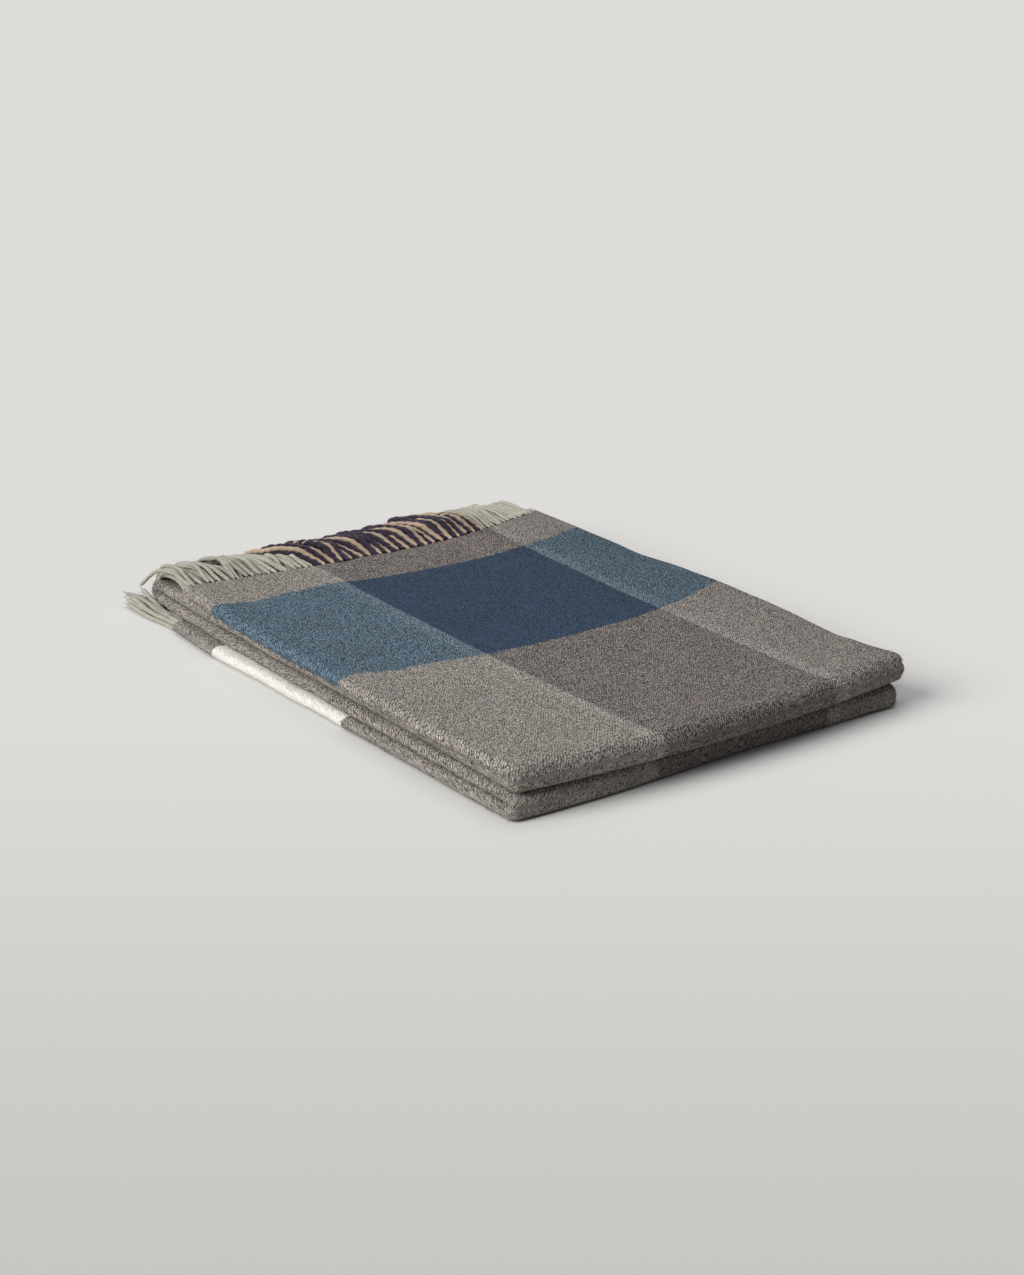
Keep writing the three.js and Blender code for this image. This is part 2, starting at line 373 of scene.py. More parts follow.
    # wool hairs standing off the folds and edges, each a closed whisker
    rng = np.random.default_rng(seed)
    gi, gj = np.gradient(co, axis=0), np.gradient(co, axis=1)
    nor = np.cross(gi, gj)
    nor /= np.linalg.norm(nor, axis=2)[..., None] + 1e-12
    cols = np.where((np.abs(U[0] - 325) < 26) | (np.abs(U[0] - 650) < 22) | (U[0] < 8) | (U[0] > 1292))[0]
    outer = np.where((U[0] > 325) & (U[0] < 650) & (side > 0.9))[0]
    rolls = np.where((lp != np.floor(lp)) | (r_mid < 26))[0]
    hv, hf, hd, hg = [], [], [], []
    flip_n = None
    for k in range(n_fuzz):
        if k % 5 < 3 or len(rolls) == 0:
            a_, b_ = int(rng.integers(2, R - 3)), int(rng.choice(cols))
        else:
            a_, b_ = int(rng.choice(rolls)), int(rng.choice(outer))
        if b_ + 1 >= S or a_ + 1 >= R:
            continue
        fa, fb = rng.uniform(size=2)
        base_p = (co[a_, b_] * (1 - fa) + co[a_ + 1, b_] * fa) * (1 - fb) + (co[a_, b_ + 1] * (1 - fa) + co[a_ + 1, b_ + 1] * fa) * fb
        n_ = nor[a_, b_]
        if flip_n is None:
            top_k = int(np.argmin(np.abs(U[0] - 500) + 1000 * (side < 0.9)))
            flip_n = -1.0 if nor[3, top_k, 2] < 0 else 1.0
            if spec[0][0] == "leaf2b":
                flip_n = 1.0 if nor[3, top_k, 2] < 0 else -1.0
        n_ = n_ * flip_n
        tang = rng.normal(size=3)
        tang -= n_ * (tang @ n_)
        tang /= np.linalg.norm(tang) + 1e-9
        p0 = base_p * 1000 - n_ * 0.15
        w_, f_ = fibre(p0, n_ * rng.uniform(0.25, 0.8) + tang, rng.uniform(1.4, 4.2), (n_ * rng.uniform(-0.4, 0.1) + rng.normal(size=3) * 0.15), 0.075)
        w_[:, 2] = np.maximum(w_[:, 2], plane + 0.05) if base_p[2] * 1000 > plane else np.minimum(w_[:, 2], plane - 0.05)
        w_[:, 2] = np.maximum(w_[:, 2], 0.1)
        hf.extend([tuple(i_ + n_main + len(hv) * 9 for i_ in f) for f in f_])
        hv.append(w_ / 1000)
        hd.append(np.repeat(data[a_ * S + b_][None, :], 9, 0))
        hg.append(np.repeat(grain[a_ * S + b_][None, :], 9, 0))
    if hv:
        verts = np.vstack([verts] + hv)
        faces = faces + hf
        data = np.vstack([data] + hd)
        grain = np.vstack([grain] + hg)
    me = bpy.data.meshes.new(name)
    me.from_pydata(verts.tolist(), [], faces)
    me.update()
    # faces pointing out: the signed volume says which way round
    me.calc_loop_triangles()
    tri = np.zeros(len(me.loop_triangles) * 3, np.int32)
    me.loop_triangles.foreach_get("vertices", tri)
    tri = tri.reshape(-1, 3)
    t = verts[tri]
    main = (tri < n_main).all(1)
    each = np.einsum("ij,ij->i", t[:, 0], np.cross(t[:, 1], t[:, 2])) / 6
    vol = each[main].sum()
    turn = np.zeros(len(faces), bool)
    if vol < 0:
        turn[:f_main] = True
    if each[~main].sum() < 0:
        turn[f_main:] = True
    if turn.any():
        faces = [f[::-1] if w else f for f, w in zip(faces, turn)]
        bpy.data.meshes.remove(me)
        me = bpy.data.meshes.new(name)
        me.from_pydata(verts.tolist(), [], faces)
        me.update()
    flags = np.ones(len(faces), bool)
    flags[len(quads):f_main] = False
    me.polygons.foreach_set("use_smooth", flags)
    sharp = me.attributes.new("sharp_edge", "BOOLEAN", "EDGE") if "sharp_edge" not in me.attributes else me.attributes["sharp_edge"]
    ev = np.zeros(len(me.edges) * 2, np.int32)
    me.edges.foreach_get("vertices", ev)
    ev = ev.reshape(-1, 2)
    at_end = (((ev // S) == 0).all(1) | ((ev // S) == R - 1).all(1)) & (ev < n_main).all(1)
    sharp.data.foreach_set("value", at_end)
    att = me.attributes.new("cloth", "FLOAT_VECTOR", "POINT")
    att.data.foreach_set("vector", data.astype(np.float32).ravel())
    att = me.attributes.new("grain", "FLOAT_VECTOR", "POINT")
    att.data.foreach_set("vector", grain.astype(np.float32).ravel())
    ob = bpy.data.objects.new(name, me)
    bpy.context.scene.collection.objects.link(ob)
    near = np.abs(verts[:n_main, 2] * 1000 - plane).min()
    print(name, "verts", len(verts), "faces", len(faces), "volume cm3", round(abs(vol) * 1e6, 1), "nearest to plane mm", round(float(near), 4), "bounds", verts.min(0).round(4), verts.max(0).round(4))
    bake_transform(ob)
    return ob, vend


fine_a = dict(ply4=30, fold=10, ply1=112, small=7, ply2=20, ply3=20)
fine_b = dict(ply4=42, fold=12, ply1=30, small=8, ply2=22, ply3=22)
cloth_a, V_END = cloth_piece(
    "blanket_cloth_upper",
    [("leaf1", TOP_HEM, 60, 118), ("leaf1", 57.5, R_FRONT, 20), ("roll1", 1 / 17, 16 / 17, 16), ("leaf2a", R_FRONT, 40, 8), ("leaf2a", 48, R_MID, 22)],
    fine_a, HINGE_TOP, 5, 3200,
)
cloth_b, _ = cloth_piece(
    "blanket_cloth_middle",
    [("leaf2b", R_MID, 430, 25), ("leaf2b", 434, R_BACK, 9), ("rollb", 1 / 15, 14 / 15, 14), ("leaf3b", R_BACK, 434, 9), ("leaf3b", 430, R_MID, 25)],
    fine_b, HINGE_BACK, 6, 1300,
)
cloth_c, _ = cloth_piece(
    "blanket_cloth_lower",
    [("leaf3a", R_MID, 48, 24), ("leaf3a", 40, R_FRONT, 8), ("roll2", 1 / 17, 16 / 17, 16), ("leaf4", R_FRONT, 40, 8), ("leaf4", 48, BOTTOM_HEM, 52)],
    fine_b, HINGE_LOW, 7, 2000,
)

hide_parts("leaf1_outer_wrap", "leaf1_inner_wrap", "leaf2_outer_wrap", "leaf2_inner_wrap")
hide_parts("leaf2_outer_wrap", "leaf2_inner_wrap", "leaf3_outer_wrap", "leaf3_inner_wrap")
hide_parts("leaf3_outer_wrap", "leaf3_inner_wrap", "leaf4_outer_wrap", "leaf4_inner_wrap")


# ---------------------------------------------------------------- fringe strands
def tube(path, radius, lobes, twist, phase, n_around, tail):
    """A closed strand of twisted yarn along path (mm): lobes go round it once every twist mm."""
    p = np.asarray(path, float)
    seg = np.linalg.norm(np.diff(p, axis=0), axis=1)
    s = np.concatenate([[0], np.cumsum(seg)])
    t = np.gradient(p, axis=0)
    t /= np.linalg.norm(t, axis=1)[:, None]
    side = np.cross(t, [0, 0, 1.0])
    bad = np.linalg.norm(side, axis=1) < 1e-3
    side[bad] = [1, 0, 0]
    side /= np.linalg.norm(side, axis=1)[:, None]
    up = np.cross(side, t)
    a = np.linspace(0, 2 * math.pi, n_around, endpoint=False)
    L = s[-1]
    rr = radius * (0.50 + 0.50 * np.clip(s / 7.0, 0, 1)) * np.sqrt(np.clip(1 - (1 - np.clip(s / 1.8, 0, 1)) ** 2, 0.02, 1))
    end = np.clip((L - s) / tail, 0, 1)
    rr = rr * np.sqrt(np.clip(1 - (1 - end) ** 2, 0.02, 1))
    tw = 2 * math.pi * s / twist + phase
    lobe = 1 + 0.17 * np.cos(lobes * (a[None, :] - tw[:, None]))
    rad = rr[:, None] * lobe
    flat = 0.86  # strands lie slightly flattened
    pts = p[:, None, :] + rad[..., None] * (np.cos(a)[None, :, None] * side[:, None, :] + flat * np.sin(a)[None, :, None] * up[:, None, :])
    n, m = len(p), n_around
    verts = pts.reshape(-1, 3)
    i, j = np.meshgrid(np.arange(n - 1), np.arange(m), indexing="ij")
    j2 = (j + 1) % m
    faces = np.stack([i * m + j, i * m + j2, (i + 1) * m + j2, (i + 1) * m + j], -1).reshape(-1, 4).tolist()
    loc = np.stack([np.repeat(s[:, None], m, 1), rad * np.cos(a[None, :] - tw[:, None]), rad * np.sin(a[None, :] - tw[:, None])], -1).reshape(-1, 3)
    faces.append(list(range(m))[::-1])
    faces.append([(n - 1) * m + k for k in range(m)])
    return verts, faces, loc


hem_edge_l = float(LEFT[0](416))
hem_edge_r = float(RIGHT[0](416))
clump_h = Waves(91, (26, 60), 7)
clump_x = Waves(92, (18, 40), 7)
wander = Waves(93, (14, 50), 9)


def top_path(x0, layer, g, length=70.0, tone=2.0, drape=False):
    """A strand of the top fringe: out of its ply at the hem, back over the leaf below, and down behind the back fold."""
    zc = 31.35 + (3.375, 1.125, -1.125, -3.375)[layer] + (g.uniform(0.2, 1.1) if layer == 0 else 0.0)
    root = g.uniform(1.6, 5.0) if layer == 0 else 4.0
    base = HINGE_TOP + 0.3 + (8.0, 5.6, 3.6, 1.9)[layer] * float(1 - 0.42 * smooth(284, 312, x0))
    end_bump = 1 - smooth(0, 26, x0)
    rise = (g.normal(0, 0.95) + (1.7 if tone == 2 else 2.3) * clump_h(x0, layer * 9 * (tone == 2)) + (0.9 if tone == 0 else 0.0)) * (1 - 0.75 * smooth(296, 316, x0))
    rise += float(np.interp(x0, [0, 30, 100, 125, 230, 262, 290, 325], [5.4, 4.8, 5.0, 7.2, 9.4, 5.2, 1.8, 0.2]))
    mid = float(smooth(98, 112, x0) * (1 - smooth(256, 270, x0)))
    lean = float(np.interp(x0, [0, 60, 130, 240, 325], [-0.04, -0.12, -0.36, -0.26, -0.12])) + (0.10 - 0.07 * mid - 0.07 * smooth(284, 300, x0)) * g.normal() + (0.13 + 0.12 * mid - 0.10 * smooth(284, 300, x0)) * clump_x(x0, layer * 31 * (1 - mid))
    curl = -0.0100 * mid + 0.0016 * g.normal() * (1 - 0.8 * mid)
    if mid > 0.5 and layer == 0 and g.uniform() < 0.22:
        rise += 2.2
        lean -= 0.11
    if end_bump > 0 and not drape:
        lean = lean * (1 - end_bump) + 0.04 * end_bump
        length = length * (1 - 0.20 * end_bump)
    if drape:
        lean, rise, length = -0.24, 4.6, length * 0.86
    length *= 1 - 0.14 * mid
    droop = g.uniform(0.9, 1.12)
    start_bend = R_BACK + g.normal(0, 2.2) - (22.0 if drape else 9.0)
    rad = base - HINGE_BACK + 1.0
    pts = []
    r, z, ang = TOP_HEM - root, zc, 0.0
    ds = 1.5
    n = int(round((length + root) / ds))
    ph = g.uniform(0, 6.28)
    wob = g.uniform(0.4, 1.5)
    for k in range(n):
        s = k * ds - root
        up = smooth(0, 10, s)
        arch = (0.5 + rise) * (smooth(-2, 19, s) - 0.62 * smooth(22, 46, s))
        if r < start_bend:
            z = zc * (1 - up) + base * up + arch
            r += ds
        else:
            ang += ds * droop / max(rad, 11.0)
            a2 = min(ang, 0.75 if drape else 1.40)
            r += ds * math.cos(a2)
            z -= ds * math.sin(a2)
        x = x0 + lean * max(s, 0) + float(curl) * min(max(s, 0), 32.0) ** 2 + wob * math.sin(s / 9.0 + ph) * smooth(2, 18, s)
        pts.append((x, float(bowed(x0, r)), min(z, 44.0 + 0.25 * (z - 44.0)) if z > 44 else z))
    pts = np.array(pts)
    pts[:, 2] = np.minimum(pts[:, 2], 45.0)
    return pts


def bottom_path(x0, layer, g, length=70.0):
    """A strand of the bottom fringe, lying back on the floor from the lowest leaf's hem."""
    zc = (0.98, 3.2, 5.5, 7.7)[layer]
    rest = (1.55, 3.3, 5.0, 6.6)[layer]
    lean = -0.05 + 0.06 * g.normal() + 0.10 * clump_x(x0 + 200, layer * 31)
    tip = g.uniform(-1.0, 1.2) + (0.0, 0.3, 0.2, -0.8)[layer] + (1 - smooth(4, 26, x0)) * g.uniform(0, 5.5)
    pts = []
    ds = 1.8
    n = int(round((length + 4) / ds))
    ph = g.uniform(0, 6.28)
    for k in range(n):
        s = k * ds - 4.0
        up = smooth(0, 14, s)
        z = zc * (1 - up) + rest * up + tip * smooth(25, 70, s)
        x = x0 + lean * max(s, 0) + 0.6 * math.sin(s / 9.0 + ph) * smooth(2, 18, s)
        r = BOTTOM_HEM + s * 0.985
        pts.append((x, float(bowed(x0, r)), max(z, 1.75)))
    return np.array(pts)


def fringe(name, x_from, x_to, kind, seed, body, nodes, n_per_layer, dark):
    g = np.random.default_rng(seed)
    V, F, A, T = [], [], [], []
    base = 0

    def add(v, f, loc, tone, rnd):
        nonlocal base
        V.append(v)
        F.extend([[i + base for i in face] for face in f])
        A.append(loc)
        T.append(np.column_stack([np.full(len(v), tone), np.full(len(v), rnd)]))
        base += len(v)

    for layer in range(4):
        count = n_per_layer if layer == 0 or dark else int(n_per_layer * 0.85)
        xs = np.linspace(x_from, x_to, count + 1)[:-1] + (x_to - x_from) / count * (0.5 + 0.22 * (layer % 2))
        for k, x in enumerate(xs):
            x = x + g.normal(0, 1.0 if not dark else 0.35)
            tone = float(k % 2) if dark else 2.0
            length = 70 * g.uniform(0.90, 1.03)
            if kind == "top":
                path = top_path(x, layer, g, length, tone, drape=(not dark and layer == 0 and k == 0 and x_from < 50))
            else:
                path = bottom_path(x, layer, g, length * 1.07)
            rnd = g.uniform()
            rad = 1.78 * g.uniform(0.82, 1.12)
            if dark:
                rad = (2.45 if tone == 0 else 2.15) * g.uniform(0.86, 1.10)
            hidden = kind == "bottom" and layer in (1, 2)
            v, f, loc = tube(path, rad, 2 if dark else 3, g.uniform(10, 15), g.uniform(0, 6.28), 12 if not hidden else 9, 3.5)
            loc = loc + np.array([rnd * 400, 0, 0])
            add(v, f, loc, tone, rnd)
            # loose fibres off the strand, and a small brush at its end
            nf = 4 if layer == 0 or kind == "bottom" else 2
            for q in range(nf):
                i = g.integers(6, len(path) - 2)
                t = path[i + 1] - path[i - 1]
                t /= np.linalg.norm(t)
                o = g.normal(size=3)
                o -= t * (o @ t)
                o /= np.linalg.norm(o)
                if kind == "bottom":
                    o[2] = abs(o[2])
                fv, ff = fibre(path[i] + o * rad * 0.8, t + 0.35 * o, g.uniform(4, 9), o * 0.18)
                fv[:, 2] = np.maximum(fv[:, 2], 0.15)
                add(fv, ff, np.repeat([[rnd * 400, 0, 0]], len(fv), 0), tone, g.uniform())
            for q in range(9):
                t = path[-1] - path[-4]
                t /= np.linalg.norm(t)
                o = g.normal(size=3)
                o -= t * (o @ t)
                fv, ff = fibre(path[-3] + o * rad * 0.35, t + 0.12 * o, g.uniform(4, 8.5), o * 0.08, 0.16)
                fv[:, 2] = np.maximum(fv[:, 2], 0.15)
                add(fv, ff, np.repeat([[rnd * 400, 0, 0]], len(fv), 0), tone, g.uniform())
    verts = np.vstack(V)
    verts[:, 2] = np.clip(verts[:, 2], 0.0, 47.6)
    co = np.column_stack([(verts[:, 0] - X0) / 1000, (verts[:, 1] - Y0) / 1000, verts[:, 2] / 1000])
    me = bpy.data.meshes.new(name)
    me.from_pydata(co.tolist(), [], F)
    me.update()
    me.calc_loop_triangles()
    tri = np.zeros(len(me.loop_triangles) * 3, np.int32)
    me.loop_triangles.foreach_get("vertices", tri)
    t = co[tri.reshape(-1, 3)]
    if np.einsum("ij,ij->i", t[:, 0], np.cross(t[:, 1], t[:, 2])).sum() < 0:
        me.flip_normals()
    me.polygons.foreach_set("use_smooth", np.ones(len(F), bool))
    a = me.attributes.new("strand", "FLOAT_VECTOR", "POINT")
    a.data.foreach_set("vector", np.vstack(A).astype(np.float32).ravel())
    tt = np.vstack(T)
    a = me.attributes.new("tone", "FLOAT_VECTOR", "POINT")
    a.data.foreach_set("vector", np.column_stack([tt, np.zeros(len(tt))]).astype(np.float32).ravel())
    ob = bpy.data.objects.new(name, me)
    bpy.context.scene.collection.objects.link(ob)
    print(name, "verts", len(co), "tris", len(me.loop_triangles), "bounds", co.min(0).round(4), co.max(0).round(4))
    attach(ob, body)
    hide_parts(*nodes)
    if kind == "top":
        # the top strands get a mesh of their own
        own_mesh(ob)
    else:
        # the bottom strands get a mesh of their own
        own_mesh(ob)
    return ob


bl = float(LEFT[3](430))
br = float(RIGHT[3](430))
top_fringes = [
    fringe("fringe_top_pale_left", hem_edge_l + 1.5, COL_A, "top", 201, "top_leaf", ["top_fringe_pale_left"], 20, False),
    fringe("fringe_top_dark_middle", COL_A, COL_B, "top", 202, "top_leaf", ["top_fringe_dark_middle"], 38, True),
    fringe("fringe_top_pale_right", COL_B, hem_edge_r - 1.5, "top", 203, "top_leaf", ["top_fringe_pale_right"], 14, False),
]
bottom_fringes = [
    fringe("fringe_bottom_pale_left", bl + 1.5, COL_A, "bottom", 211, "bottom_leaf", ["bottom_fringe_pale_left"], 26, False),
    fringe("fringe_bottom_dark_middle", COL_A, COL_B, "bottom", 212, "bottom_leaf", ["bottom_fringe_dark_middle"], 38, True),
    fringe("fringe_bottom_pale_right", COL_B, br - 1.5, "bottom", 213, "bottom_leaf", ["bottom_fringe_pale_right"], 14, False),
]


# ---------------------------------------------------------------- materials
def lin(c):
    return tuple(((x / 255) / 12.92 if x <= 10.31475 else ((x / 255 + 0.055) / 1.055) ** 2.4) for x in c)


GAIN = 0.853  # from a colour as seen under the studio light to the cloth's own colour


def own(c, k=1.0):
    return tuple(min(0.95, x * GAIN * k) for x in lin(c)) + (1.0,)


class Tree:
    def __init__(self, name):
        self.mat = bpy.data.materials.new(name)
        self.mat.use_nodes = True
        self.t = self.mat.node_tree
        self.t.nodes.clear()
        self.out = self.t.nodes.new("ShaderNodeOutputMaterial")
        self.bsdf = self.t.nodes.new("ShaderNodeBsdfPrincipled")
        self.t.links.new(self.bsdf.outputs[0], self.out.inputs[0])

    def put(self, sock, value):
        if isinstance(value, bpy.types.NodeSocket):
            self.t.links.new(value, sock)
        else:
            sock.default_value = value

    def m(self, op, a, b=0.0, c=0.0, clamp=False):
        n = self.t.nodes.new("ShaderNodeMath")
        n.operation = op
        n.use_clamp = clamp
        self.put(n.inputs[0], a)
        self.put(n.inputs[1], b)
        self.put(n.inputs[2], c)
        return n.outputs[0]

    def attr(self, name):
        n = self.t.nodes.new("ShaderNodeAttribute")
        n.attribute_name = name
        s = self.t.nodes.new("ShaderNodeSeparateXYZ")
        self.t.links.new(n.outputs["Vector"], s.inputs[0])
        return s.outputs[0], s.outputs[1], s.outputs[2]

    def vec(self, x, y, z):
        n = self.t.nodes.new("ShaderNodeCombineXYZ")
        self.put(n.inputs[0], x)
        self.put(n.inputs[1], y)
        self.put(n.inputs[2], z)
        return n.outputs[0]

    def noise(self, vec, scale=1.0, detail=2.0, rough=0.5, dist=0.0):
        n = self.t.nodes.new("ShaderNodeTexNoise")
        self.put(n.inputs["Vector"], vec)
        n.inputs["Scale"].default_value = scale
        n.inputs["Detail"].default_value = detail
        n.inputs["Roughness"].default_value = rough
        n.inputs["Distortion"].default_value = dist
        return n.outputs[0]

    def step(self, x, lo, hi, a=0.0, b=1.0):
        n = self.t.nodes.new("ShaderNodeMapRange")
        n.interpolation_type = "SMOOTHSTEP"
        self.put(n.inputs[0], x)
        n.inputs[1].default_value = lo
        n.inputs[2].default_value = hi
        n.inputs[3].default_value = a
        n.inputs[4].default_value = b
        return n.outputs[0]

    def linmap(self, x, lo, hi, a, b):
        n = self.t.nodes.new("ShaderNodeMapRange")
        self.put(n.inputs[0], x)
        n.inputs[1].default_value = lo
        n.inputs[2].default_value = hi
        n.inputs[3].default_value = a
        n.inputs[4].default_value = b
        return n.outputs[0]

    def band(self, x, lo, hi, w=0.9):
        return self.m("MULTIPLY", self.step(x, lo - w, lo + w), self.step(x, hi - w, hi + w, 1.0, 0.0))

    def mix(self, f, a, b, mode="MIX"):
        n = self.t.nodes.new("ShaderNodeMix")
        n.data_type = "RGBA"
        n.blend_type = mode
        self.put(n.inputs[0], f)
        self.put(n.inputs[6], a)
        self.put(n.inputs[7], b)
        return n.outputs[2]

    def bump(self, height, strength, distance, normal=None):
        n = self.t.nodes.new("ShaderNodeBump")
        n.inputs["Strength"].default_value = strength
        n.inputs["Distance"].default_value = distance
        self.put(n.inputs["Height"], height)
        if normal is not None:
            self.put(n.inputs["Normal"], normal)
        return n.outputs[0]

    def set(self, **kw):
        for k, v in kw.items():
            self.bsdf.inputs[k.replace("_", " ")].default_value = v


def wool():
    t = Tree("wool_cloth")
    u, v, side = t.attr("cloth")
    us = t.m("ABSOLUTE", t.m("SUBTRACT", u, 650.0))
    jag = t.noise(t.vec(t.m("MULTIPLY", u, 0.9), t.m("MULTIPLY", v, 0.30), 3.0), 1.0, 2.0)
    jag2 = t.noise(t.vec(t.m("MULTIPLY", u, 0.12), t.m("MULTIPLY", v, 0.12), 9.0), 1.0, 2.0)
    ue = t.m("ADD", us, t.m("ADD", t.linmap(jag, 0, 1, -0.9, 0.9), t.linmap(jag2, 0, 1, -1.1, 1.1)))
    ve = t.m("ADD", v, t.m("ADD", t.linmap(jag, 0, 1, -2.4, 2.4), t.linmap(jag2, 0, 1, -2.6, 2.6)))
    dark = t.m("ADD", t.band(ue, 65, 219), t.band(ue, 373, 527))
    pale_edge = t.m("ADD", t.m("ADD", t.band(ue, 55, 65, 1.6), t.band(ue, 219, 229, 1.6)), t.band(ue, 363, 373, 1.6))
    blue = t.band(ve, 52, 228, 0.8)
    we = t.m("SUBTRACT", V_END, ve)
    cream = t.band(we, 65, 231, 0.8)
    grey = t.mix(dark, own((134, 129, 124)), own((107, 101, 99)))
    bl = t.mix(dark, own((81, 98, 111)), own((51, 66, 86)))
    cr = t.mix(dark, own((221, 220, 213)), own((170, 163, 153)))
    col = t.mix(blue, grey, bl)
    col = t.mix(cream, col, cr)
    col = t.mix(t.m("MULTIPLY", pale_edge, 0.045), col, own((215, 215, 210)))
    # melange: short slanted wool flecks, lighter and darker, finer and coarser
    u0, v0 = u, v
    u, v, _ = t.attr("grain")
    sl = t.m("ADD", u, t.m("MULTIPLY", v, 0.13))
    f1 = t.noise(t.vec(t.m("MULTIPLY", sl, 2.2), t.m("MULTIPLY", v, 0.84), t.m("MULTIPLY", side, 4.1)), 1.0, 2.0, 0.6)
    f2 = t.noise(t.vec(t.m("MULTIPLY", sl, 0.36), t.m("MULTIPLY", v, 0.11), t.m("ADD", t.m("MULTIPLY", side, 3.1), 17.0)), 1.0, 3.0, 0.55)
    f3 = t.noise(t.vec(t.m("MULTIPLY", u, 0.035), t.m("MULTIPLY", v, 0.022), 5.0), 1.0, 2.0, 0.5)
    f0 = t.noise(t.vec(t.m("MULTIPLY", t.m("ADD", u, t.m("MULTIPLY", v, 0.75)), 1.18), t.m("MULTIPLY", t.m("SUBTRACT", t.m("MULTIPLY", u, 0.75), v), 0.34), t.m("ADD", t.m("MULTIPLY", side, 5.3), 40.0)), 1.0, 1.0, 0.5)
    warp_ = t.linmap(f2, 0.3, 0.7, -0.8, 0.8)
    tick = t.m("SINE", t.m("ADD", t.m("MULTIPLY", t.m("ADD", u, t.m("MULTIPLY", v, 0.75)), 2 * math.pi / 1.95), warp_))
    light = t.m("ADD", t.m("ADD", t.linmap(f1, 0.36, 0.64, 0.12, 1.88), t.linmap(f0, 0.32, 0.68, -0.74, 0.74)), t.m("ADD", t.linmap(f2, 0.3, 0.7, -0.10, 0.10), t.linmap(f3, 0.3, 0.7, -0.05, 0.05)))
    # the twill opens where the cloth bends
    def near(x, c, w):
        q = t.m("DIVIDE", t.m("SUBTRACT", x, c), w)
        return t.m("POWER", 2.718, t.m("MULTIPLY", t.m("MULTIPLY", q, q), -1.0))

    bend = t.m("ADD", t.m("ADD", near(v0, 417.2, 13.0), near(v0, 1362.8, 13.0)), near(u0, 325.0, 7.0), clamp=True)
    light = t.m("ADD", light, t.m("MULTIPLY", tick, t.linmap(bend, 0, 1, 0.16, 0.32)))
    calm = t.m("SUBTRACT", t.m("ADD", 1.10, t.m("ADD", t.m("MULTIPLY", dark, 0.42), t.m("MULTIPLY", blue, 0.22))), t.m("ADD", t.m("MULTIPLY", t.m("MULTIPLY", dark, blue), 0.95), t.m("MULTIPLY", cream, 0.82)))
    # flecks fade on the narrow line that each fold opens along
    line = t.m("ADD", t.m("ADD", t.band(v0, 416.72, 417.72, 0.14), t.band(v0, 889.4, 890.6, 0.14)), t.band(v0, 1362.3, 1363.3, 0.14), clamp=True)
    line = t.m("SUBTRACT", 1.0, line)
    calm = t.m("MULTIPLY", calm, line)
    light = t.m("MAXIMUM", 0.15, t.m("ADD", 1.0, t.m("MULTIPLY", t.m("SUBTRACT", light, 1.0), calm)))
    # a slight warm, paler tint on the lighter flecks
    tint = t.mix(t.step(f1, 0.52, 0.72), (1.0, 1.0, 1.0, 1.0), (1.05, 1.02, 0.97, 1.0))
    g = t.t.nodes.new("ShaderNodeCombineColor")
    for k in range(3):
        t.put(g.inputs[k], light)
    col = t.mix(1.0, col, g.outputs[0], "MULTIPLY")
    col = t.mix(1.0, col, tint, "MULTIPLY")
    # the cloth's colour is made darker toward the folded right edge
    right_fold_darker = t.step(us, 20, 95, 0.80, 1.0)
    g2 = t.t.nodes.new("ShaderNodeCombineColor")
    for k in range(3):
        t.put(g2.inputs[k], right_fold_darker)
    col = t.mix(1.0, col, g2.outputs[0], "MULTIPLY")
    t.put(t.bsdf.inputs["Base Color"], col)
    # fine twill under a brushed surface
    wav = tick
    wav2 = t.m("SINE", t.m("MULTIPLY", v, 2 * math.pi / 1.9))
    twill = t.m("ADD", t.m("MULTIPLY", wav, 0.35), t.m("MULTIPLY", wav2, 0.22))
    fuzz = t.noise(t.vec(t.m("MULTIPLY", sl, 2.2), t.m("MULTIPLY", v, 1.0), t.m("MULTIPLY", side, 9.0)), 1.0, 3.0, 0.65)
    h = t.m("ADD", t.m("MULTIPLY", twill, 0.5), t.m("MULTIPLY", fuzz, 2.2))
    h = t.m("MULTIPLY", t.m("MULTIPLY", h, t.linmap(cream, 0, 1, 1.0, 0.35)), line)
    nrm = t.bump(h, 0.7, 0.00020)
    nrm = t.bump(t.m("MULTIPLY", f2, line), 0.35, 0.00035, nrm)
    t.put(t.bsdf.inputs["Normal"], nrm)
    t.put(t.bsdf.inputs["Roughness"], t.linmap(f1, 0.2, 0.8, 0.98, 0.86))
    t.set(Specular_IOR_Level=0.08, Sheen_Weight=0.03, Sheen_Roughness=0.5)
    return t.mat


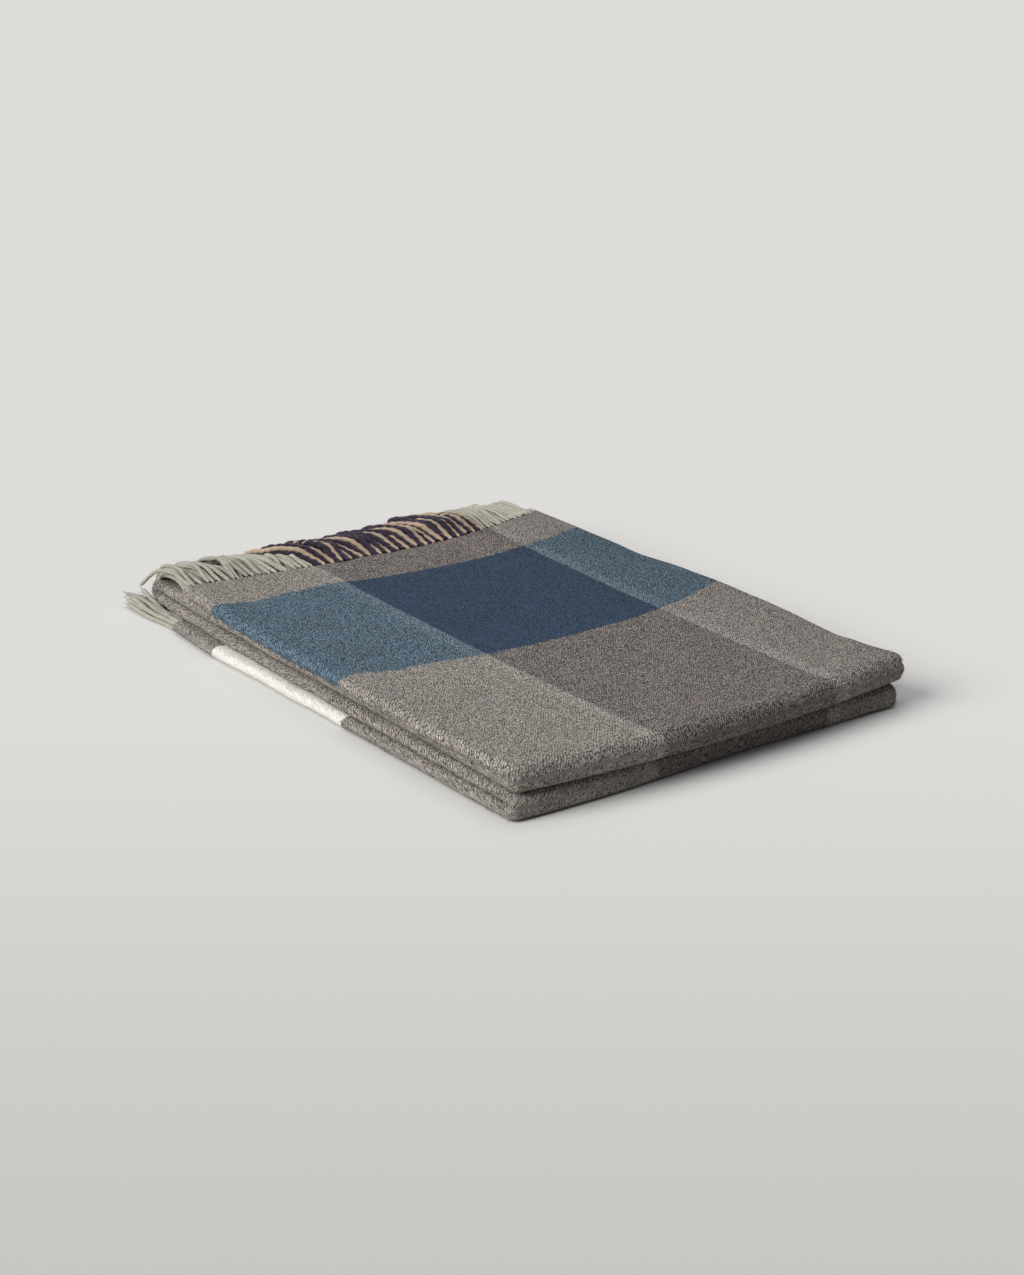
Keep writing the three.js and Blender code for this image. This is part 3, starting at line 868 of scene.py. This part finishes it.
def yarn(name, dark):
    t = Tree(name)
    s, a, b = t.attr("strand")
    tone, rnd, _ = t.attr("tone")
    n1 = t.noise(t.vec(t.m("MULTIPLY", s, 0.16), t.m("MULTIPLY", a, 2.3), t.m("MULTIPLY", b, 2.3)), 1.0, 3.0, 0.6)
    n2 = t.noise(t.vec(t.m("MULTIPLY", s, 0.05), t.m("MULTIPLY", a, 0.6), t.m("MULTIPLY", b, 0.6)), 1.0, 2.0, 0.5)
    if dark:
        aub = t.mix(t.step(n1, 0.42, 0.72), own((44, 34, 50)), own((74, 60, 80)))
        cam = t.mix(t.step(n1, 0.35, 0.7), own((168, 138, 114)), own((206, 180, 152)))
        pinkish = t.mix(t.step(n2, 0.4, 0.65), cam, own((178, 168, 148)))
        col = t.mix(t.step(tone, 0.4, 0.6), aub, pinkish)
    else:
        col = t.mix(t.step(n1, 0.30, 0.72), own((150, 147, 135)), own((196, 194, 181)))
    k = t.m("ADD", t.linmap(rnd, 0, 1, 0.90, 1.08), t.linmap(n2, 0.3, 0.7, -0.05, 0.05))
    g = t.t.nodes.new("ShaderNodeCombineColor")
    for i in range(3):
        t.put(g.inputs[i], k)
    col = t.mix(1.0, col, g.outputs[0], "MULTIPLY")
    t.put(t.bsdf.inputs["Base Color"], col)
    t.put(t.bsdf.inputs["Normal"], t.bump(n1, 0.7, 0.0007))
    t.put(t.bsdf.inputs["Roughness"], t.linmap(n1, 0.2, 0.8, 0.95, 0.8))
    t.set(Specular_IOR_Level=0.18, Sheen_Weight=0.18, Sheen_Roughness=0.4)
    return t.mat


wool_mat = wool()
pale_mat = yarn("fringe_pale", False)
dark_mat = yarn("fringe_dark", True)
for ob in (cloth_a, cloth_b, cloth_c):
    ob.data.materials.append(wool_mat)
for ob in top_fringes + bottom_fringes:
    ob.data.materials.append(dark_mat if "dark" in ob.name else pale_mat)


# ---------------------------------------------------------------- floor, light, camera
me = bpy.data.meshes.new("floor")
s = 90.0
me.from_pydata([(-s, -s, 0), (s, -s, 0), (s, s, 0), (-s, s, 0)], [], [(0, 1, 2, 3)])
floor = bpy.data.objects.new("floor", me)
floor.location.z = -0.0002
bpy.context.scene.collection.objects.link(floor)
fm = bpy.data.materials.new("floor")
fm.use_nodes = True
p = fm.node_tree.nodes["Principled BSDF"]
# a pale floor with painted light falloff: painted darker toward the front and lighter toward the back
ft = fm.node_tree
geo = ft.nodes.new("ShaderNodeTexCoord")
dot = ft.nodes.new("ShaderNodeVectorMath")
dot.operation = "DOT_PRODUCT"
dot.inputs[1].default_value = (0.571, 0.821, 0.0)
ft.links.new(geo.outputs["Object"], dot.inputs[0])
falloff_shade_ramp = ft.nodes.new("ShaderNodeMapRange")
falloff_shade_ramp.interpolation_type = "SMOOTHSTEP"
ft.links.new(dot.outputs["Value"], falloff_shade_ramp.inputs[0])
for k, val in ((1, -1.0), (2, 0.0), (3, 0.0), (4, 1.0)):
    falloff_shade_ramp.inputs[k].default_value = val
# painted shade: the first colour darkens the front of the floor, the second lightens the back
falloff_shade_mix = ft.nodes.new("ShaderNodeMix")
falloff_shade_mix.data_type = "RGBA"
ft.links.new(falloff_shade_ramp.outputs[0], falloff_shade_mix.inputs[0])
falloff_shade_mix.inputs[6].default_value = (0.480, 0.474, 0.463, 1)
falloff_shade_mix.inputs[7].default_value = (0.636, 0.630, 0.619, 1)
ft.links.new(falloff_shade_mix.outputs[2], p.inputs["Base Color"])
p.inputs["Roughness"].default_value = 0.9
p.inputs["Specular IOR Level"].default_value = 0.05
floor.data.materials.append(fm)

world = bpy.data.worlds.new("studio")
world.use_nodes = True
world.node_tree.nodes["Background"].inputs[0].default_value = (0.97, 0.985, 1.0, 1)
world.node_tree.nodes["Background"].inputs[1].default_value = 0.175
bpy.context.scene.world = world


def sun(name, direction, strength, angle, colour=(1, 1, 1)):
    d = bpy.data.lights.new(name, "SUN")
    d.energy = strength
    d.angle = math.radians(angle)
    d.color = colour
    o = bpy.data.objects.new(name, d)
    o.rotation_mode = "QUATERNION"
    o.rotation_quaternion = (-Vector(direction)).to_track_quat("-Z", "Y")
    bpy.context.scene.collection.objects.link(o)
    return o


sun("key", (-1.2, 0.09, 0.80), 3.42, 39, (1.0, 0.99, 0.97))
sun("top", (0.05, 0.14, 1.0), 1.20, 64)

cam_data = bpy.data.cameras.new("camera")
cam_data.lens = 73.41
cam_data.sensor_width = 36
cam_data.clip_start, cam_data.clip_end = 0.05, 300
cam = bpy.data.objects.new("camera", cam_data)
cam.location = (-0.9940, -1.4463, 0.6628)
cam.rotation_euler = (math.radians(69.667), 0, math.radians(-34.82))
bpy.context.scene.collection.objects.link(cam)
bpy.context.scene.camera = cam
bpy.context.scene.view_settings.view_transform = "Standard"
bpy.context.scene.view_settings.look = "None"
bpy.context.scene.view_settings.exposure = 0.0
